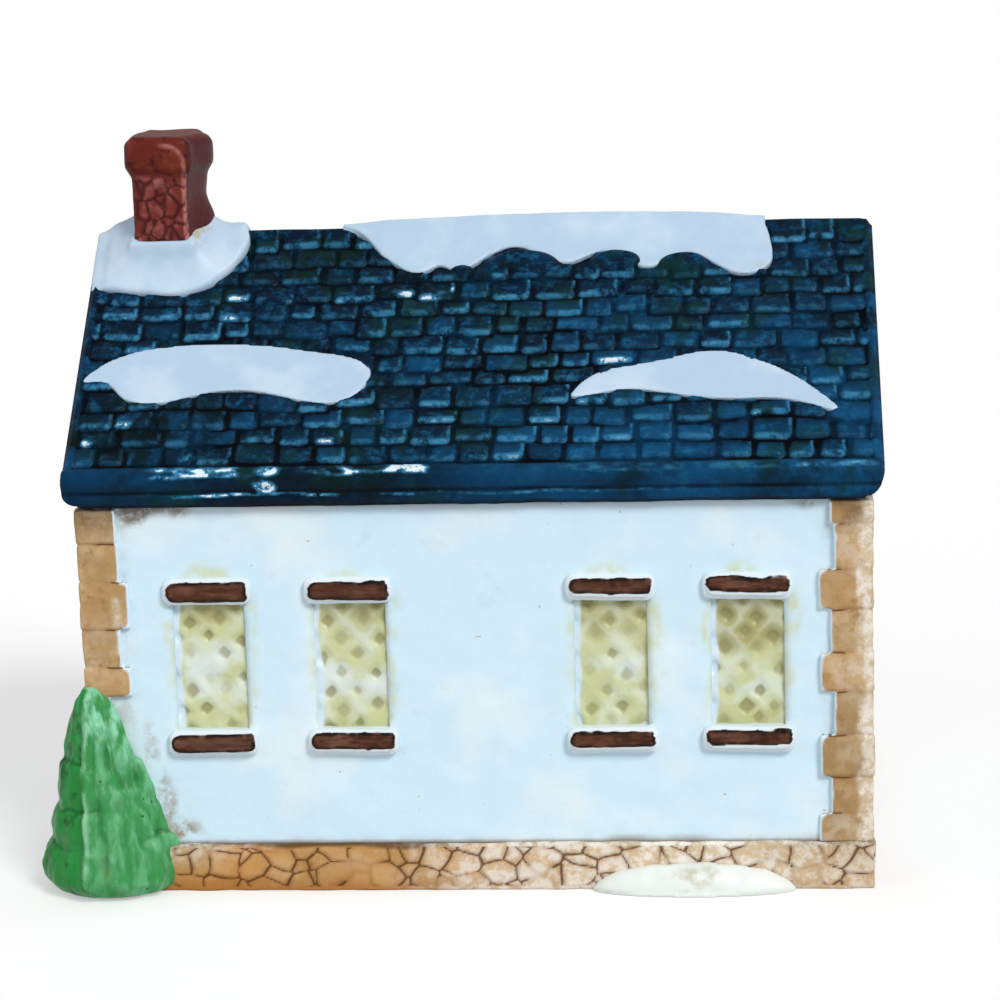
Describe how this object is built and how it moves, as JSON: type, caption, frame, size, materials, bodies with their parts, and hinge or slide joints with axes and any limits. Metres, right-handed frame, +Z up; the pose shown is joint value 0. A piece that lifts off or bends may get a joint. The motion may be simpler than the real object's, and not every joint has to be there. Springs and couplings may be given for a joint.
{
  "type": "ceramic village house",
  "caption": "Hollow ceramic village house with a snowy slate roof, chimney, lattice windows, corner stones and a fir tree; a round hole in its base takes a light.",
  "frame": {"origin": "centre of the light hole on the underside of the base, the plane it stands on", "axes": "+X along the ridge, away from the chimney end; -Y out of the long wall beside the tree, with the windows and no door; +Z up"},
  "size_m": [0.1181, 0.0795, 0.1041],
  "materials": {
    "white_wall": "matte white bisque, painted",
    "raw_base": "bare unglazed clay",
    "tan_stone": "matte tan stain, worn pale on the edges",
    "dark_brown_wood_paint": "brushed dark brown paint",
    "slate_blue": "glossy dark blue glaze",
    "brick_red": "matte brick red stain",
    "fir_green": "satin green glaze",
    "snow_white": "glossy white glaze",
    "window_cream": "pale yellow satin paint"
  },
  "bodies": {
    "root": {"back_window_1_lintel": "dark_brown_wood_paint", "back_window_1_pane": "window_cream", "back_window_1_sill": "dark_brown_wood_paint", "back_window_2_lintel": "dark_brown_wood_paint", "back_window_2_pane": "window_cream", "back_window_2_sill": "dark_brown_wood_paint", "back_window_3_lintel": "dark_brown_wood_paint", "back_window_3_pane": "window_cream", "back_window_3_sill": "dark_brown_wood_paint", "back_window_4_lintel": "dark_brown_wood_paint", "back_window_4_pane": "window_cream", "back_window_4_sill": "dark_brown_wood_paint", "base_floor": "raw_base", "chimney_cap": "brick_red", "chimney_stack": "brick_red", "door_lintel": "dark_brown_wood_paint", "door_panel": "dark_brown_wood_paint", "door_step": "tan_stone", "eave_band_back": "slate_blue", "eave_band_front": "slate_blue", "fir_tree": "fir_green", "front_window_1_lintel": "dark_brown_wood_paint", "front_window_1_pane": "window_cream", "front_window_1_sill": "dark_brown_wood_paint", "front_window_2_lintel": "dark_brown_wood_paint", "front_window_2_pane": "window_cream", "front_window_2_sill": "dark_brown_wood_paint", "front_window_3_lintel": "dark_brown_wood_paint", "front_window_3_pane": "window_cream", "front_window_3_sill": "dark_brown_wood_paint", "front_window_4_lintel": "dark_brown_wood_paint", "front_window_4_pane": "window_cream", "front_window_4_sill": "dark_brown_wood_paint", "left_window_lintel": "dark_brown_wood_paint", "left_window_pane": "window_cream", "left_window_sill": "dark_brown_wood_paint", "quoins_back_left": "tan_stone", "quoins_back_right": "tan_stone", "quoins_front_left": "tan_stone", "quoins_front_right": "tan_stone", "right_window_lintel": "dark_brown_wood_paint", "right_window_pane": "window_cream", "right_window_sill": "dark_brown_wood_paint", "roof_shell": "slate_blue", "slates_back": "slate_blue", "slates_front": "slate_blue", "snow_chimney": "snow_white", "snow_drift_back_left": "snow_white", "snow_drift_back_right": "snow_white", "snow_drift_front_left": "snow_white", "snow_drift_front_right": "snow_white", "snow_ground_drift": "snow_white", "snow_ridge": "snow_white", "stone_plinth": "tan_stone", "wall_shell": "white_wall"}
  },
  "joints": []
}
